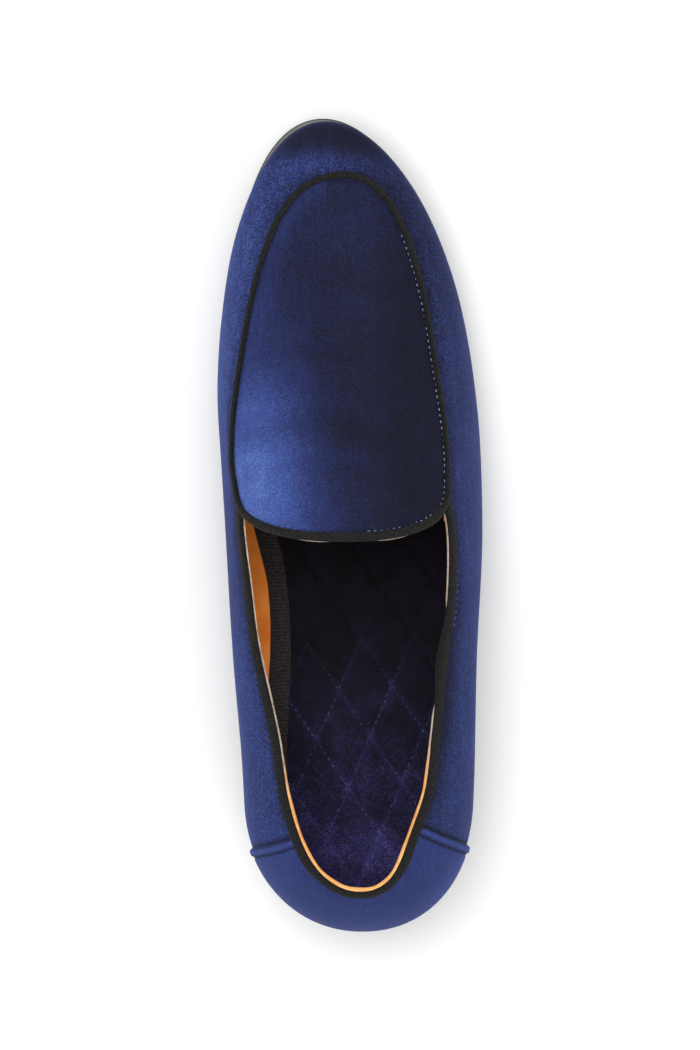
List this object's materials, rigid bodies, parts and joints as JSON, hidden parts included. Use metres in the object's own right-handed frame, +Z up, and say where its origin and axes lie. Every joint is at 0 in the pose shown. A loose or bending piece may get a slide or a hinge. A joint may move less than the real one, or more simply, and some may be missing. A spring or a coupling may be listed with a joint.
{
  "type": "slipper loafer",
  "caption": "Low velvet slip-on for a right foot: hollow upper with taped collar and throat, piped apron, back counter, soft insole, thin outsole and low heel block.",
  "frame": {"origin": "middle of the underside: half way along and across the bounding box, on the floor", "axes": "+X to the outer side of the foot, +Y from heel to toe, +Z up"},
  "size_m": [0.0942, 0.2874, 0.0796],
  "materials": {
    "outsole": "satin moulded rubber",
    "heel": "satin moulded rubber",
    "velvet": "navy velvet with a short pile",
    "counter_velvet": "navy velvet with a short pile",
    "tape": "black woven tape",
    "piping": "black woven tape",
    "insole_velvet": "dark navy quilted velvet"
  },
  "bodies": {
    "root": {"outsole": "outsole", "heel": "heel", "upper": "velvet", "counter": "counter_velvet", "collar_binding": "tape", "apron_piping": "piping", "insole": "insole_velvet"}
  },
  "joints": []
}
